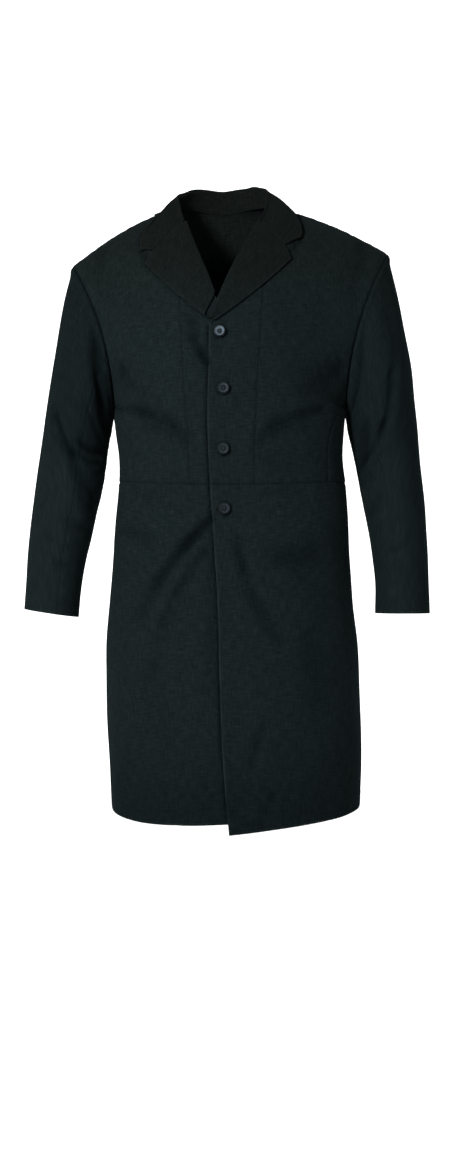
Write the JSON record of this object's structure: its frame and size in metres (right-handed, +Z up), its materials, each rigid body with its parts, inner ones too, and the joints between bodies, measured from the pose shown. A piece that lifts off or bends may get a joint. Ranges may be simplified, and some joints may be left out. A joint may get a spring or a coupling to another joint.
{
  "type": "frock coat",
  "caption": "Knee-length frock coat in dark cotton, worn form with an open hollow, notched lapels, waist seam, buttoned front and set-in two-piece sleeves.",
  "frame": {"origin": "the nape, where the wearer's neck and shoulders hold the coat, at the middle of the back neck seam", "axes": "+Z up, the front of the coat faces -Y, +X is the wearer's left"},
  "size_m": [0.6513, 0.3329, 1.0437],
  "materials": {
    "coat_cloth": "matte",
    "button_horn": "satin"
  },
  "bodies": {
    "root": {"front_right": "coat_cloth", "front_left": "coat_cloth", "side_front_right": "coat_cloth", "side_front_left": "coat_cloth", "side_body_right": "coat_cloth", "side_body_left": "coat_cloth", "back_right": "coat_cloth", "back_left": "coat_cloth", "skirt_right": "coat_cloth", "skirt_left": "coat_cloth", "top_sleeve_right": "coat_cloth", "top_sleeve_left": "coat_cloth", "under_sleeve_right": "coat_cloth", "under_sleeve_left": "coat_cloth", "lapel_right": "coat_cloth", "lapel_left": "coat_cloth", "collar": "coat_cloth", "button_1": "button_horn", "button_2": "button_horn", "button_3": "button_horn", "button_4": "button_horn"}
  },
  "joints": []
}
